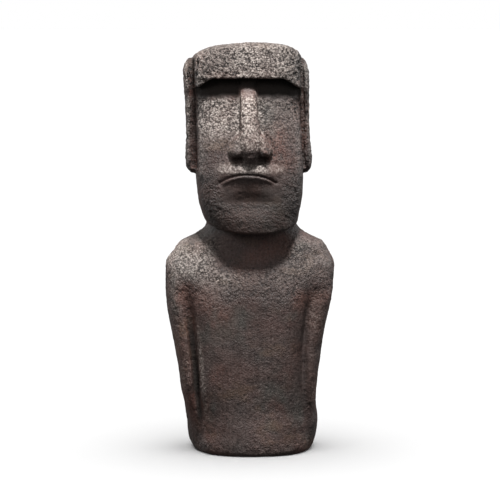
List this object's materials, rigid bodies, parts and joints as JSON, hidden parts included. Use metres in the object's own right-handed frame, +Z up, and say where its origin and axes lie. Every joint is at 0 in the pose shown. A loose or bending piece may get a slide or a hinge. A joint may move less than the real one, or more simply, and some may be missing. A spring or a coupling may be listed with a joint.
{
  "type": "moai figure",
  "caption": "Hollow moulded moai-style garden figure: long stylised head on a torso with arms at the sides, on rubber feet.",
  "frame": {"origin": "middle of the bounding box, at ground level", "axes": "+Z up, -Y the way the face looks, +X the figure's own left"},
  "size_m": [0.2432, 0.1796, 0.59],
  "materials": {
    "casting": "coarse stone-effect filled resin, dark brown with pale dry-brushed high spots",
    "glass_mat": "resin-wetted glass mat, unpainted",
    "board": "unfinished exterior board",
    "screw_steel": "zinc plated",
    "foot_rubber": "moulded matt rubber"
  },
  "bodies": {
    "figure": {"front_shell": "casting", "back_shell": "casting", "left_body_tape": "glass_mat", "left_head_tape": "glass_mat", "right_body_tape": "glass_mat", "right_head_tape": "glass_mat", "base_plate": "board", "front_fixing_block": "board", "back_fixing_block": "board", "left_fixing_block": "board", "right_fixing_block": "board", "front_base_screw": "screw_steel", "back_base_screw": "screw_steel", "left_base_screw": "screw_steel", "right_base_screw": "screw_steel", "front_left_foot": "foot_rubber", "front_right_foot": "foot_rubber", "back_left_foot": "foot_rubber", "back_right_foot": "foot_rubber"},
    "plug": {"drain_plug": "foot_rubber"}
  },
  "joints": [
    {"name": "drain_plug_pull", "type": "slide", "parent": "figure", "child": "plug", "axis": [0, 0, -1], "range_m": [0, 0.02]}
  ]
}
